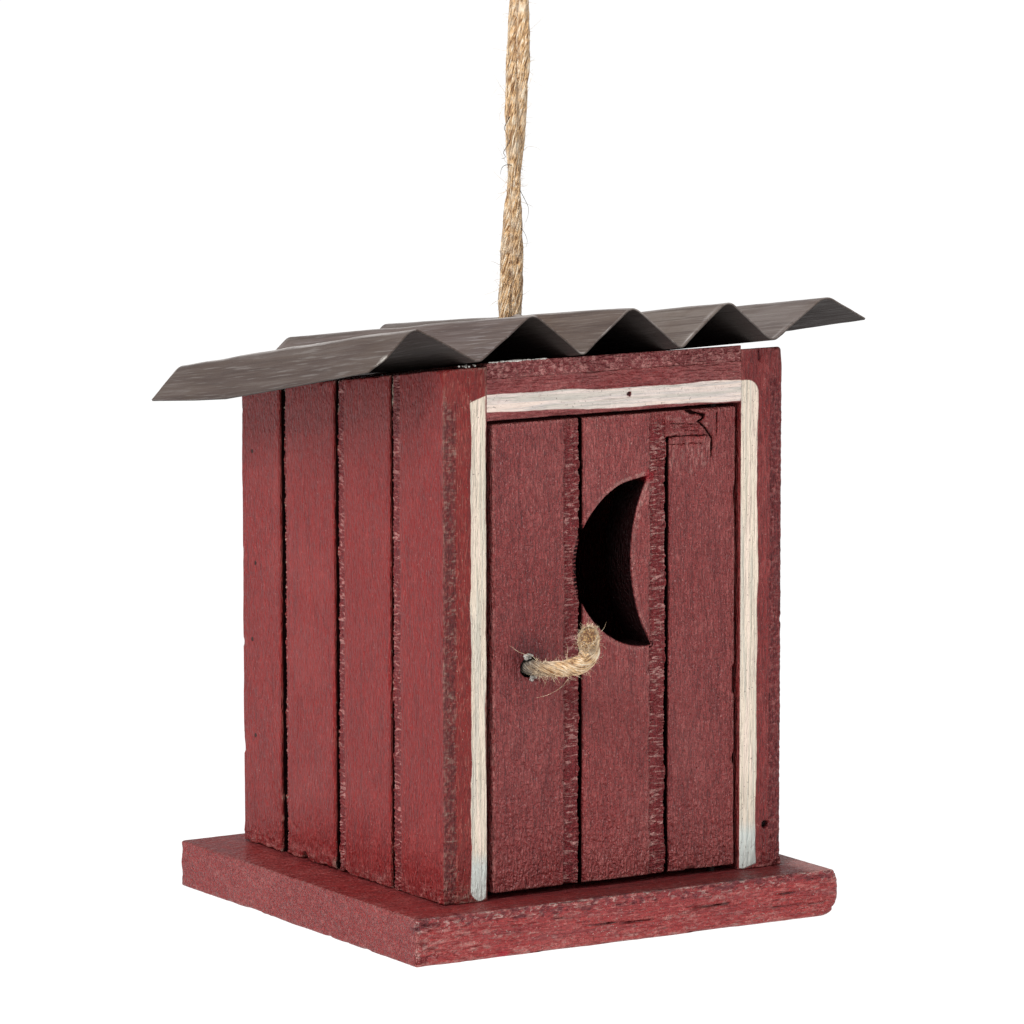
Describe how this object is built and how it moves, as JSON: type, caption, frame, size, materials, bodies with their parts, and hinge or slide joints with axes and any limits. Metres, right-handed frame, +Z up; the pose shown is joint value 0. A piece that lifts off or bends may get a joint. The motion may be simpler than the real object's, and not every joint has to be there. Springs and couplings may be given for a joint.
{
  "type": "birdhouse",
  "caption": "Small hanging wooden birdhouse shaped like an outhouse, with a plank door that swings open, a crescent entrance, a corrugated metal roof and a twisted jute hanger",
  "frame": {"origin": "on the underside of the base board, straight below the middle of the body's footprint", "axes": "+Z up, -Y is the front with the door, +X is to the right seen from the front"},
  "size_m": [0.146, 0.14, 0.2612],
  "materials": {
    "painted_wood": "barn-red paint brushed on sawn softwood, satin to matt",
    "roof_metal": "darkened bare sheet steel with a streaked brown-grey patina",
    "glue": "hot-melt glue, milky white",
    "jute": "natural jute twine, fuzzy and matt",
    "nail_steel": "plain wire-nail steel, dulled"
  },
  "bodies": {
    "root": {"base_board": "painted_wood", "left_wall": "painted_wood", "right_wall": "painted_wood", "back_wall": "painted_wood", "header": "painted_wood", "roof_deck": "painted_wood", "roof_sheet": "roof_metal", "roof_glue_beads": "glue", "door_pivot_nail_top": "nail_steel", "door_pivot_nail_bottom": "nail_steel", "hanging_twine": "jute", "hanging_twine_knot": "jute", "left_wall_brads": "nail_steel", "right_wall_brads": "nail_steel", "base_nails": "nail_steel"},
    "door": {"door_panel": "painted_wood", "door_pull_twine": "jute", "door_pull_knot": "jute", "door_pull_glue": "glue"}
  },
  "joints": [
    {"name": "door_hinge", "type": "hinge", "parent": "root", "child": "door", "pos_m": [0.0311, -0.0475, 0], "axis": [0, 0, 1], "range_deg": [0, 110]}
  ]
}
